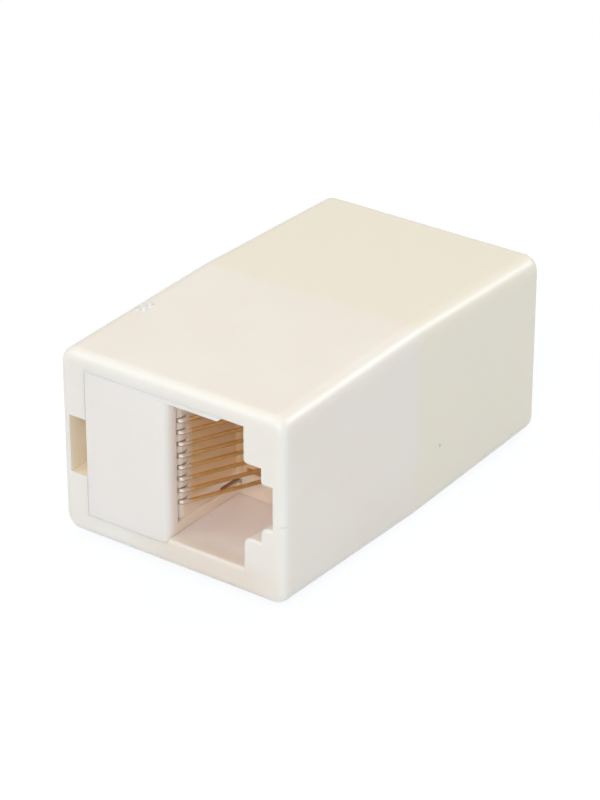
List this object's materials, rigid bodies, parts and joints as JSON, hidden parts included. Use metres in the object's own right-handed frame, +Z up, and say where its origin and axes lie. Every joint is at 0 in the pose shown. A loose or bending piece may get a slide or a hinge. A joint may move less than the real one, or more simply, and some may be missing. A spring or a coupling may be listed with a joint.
{
  "type": "rj45 inline coupler",
  "caption": "Box-shaped inline coupler for modular plugs: an ivory sleeve with a latch-keyed port and an insert panel in each end, and gold spring contact wires running through.",
  "frame": {"origin": "on the underside crease, at the middle of the body", "axes": "+Y along the body towards its rear port, the front port faces -Y, +Z up"},
  "size_m": [0.0216, 0.0356, 0.0169],
  "materials": {
    "housing_plastic": "satin ivory moulding",
    "insert_plastic": "satin off-white moulding",
    "contact_gold": "gold flash over spring wire"
  },
  "bodies": {
    "root": {"housing": "housing_plastic", "front_insert": "insert_plastic", "rear_insert": "insert_plastic", "contact_wire_1": "contact_gold", "contact_wire_2": "contact_gold", "contact_wire_3": "contact_gold", "contact_wire_4": "contact_gold", "contact_wire_5": "contact_gold", "contact_wire_6": "contact_gold", "contact_wire_7": "contact_gold", "contact_wire_8": "contact_gold"}
  },
  "joints": []
}
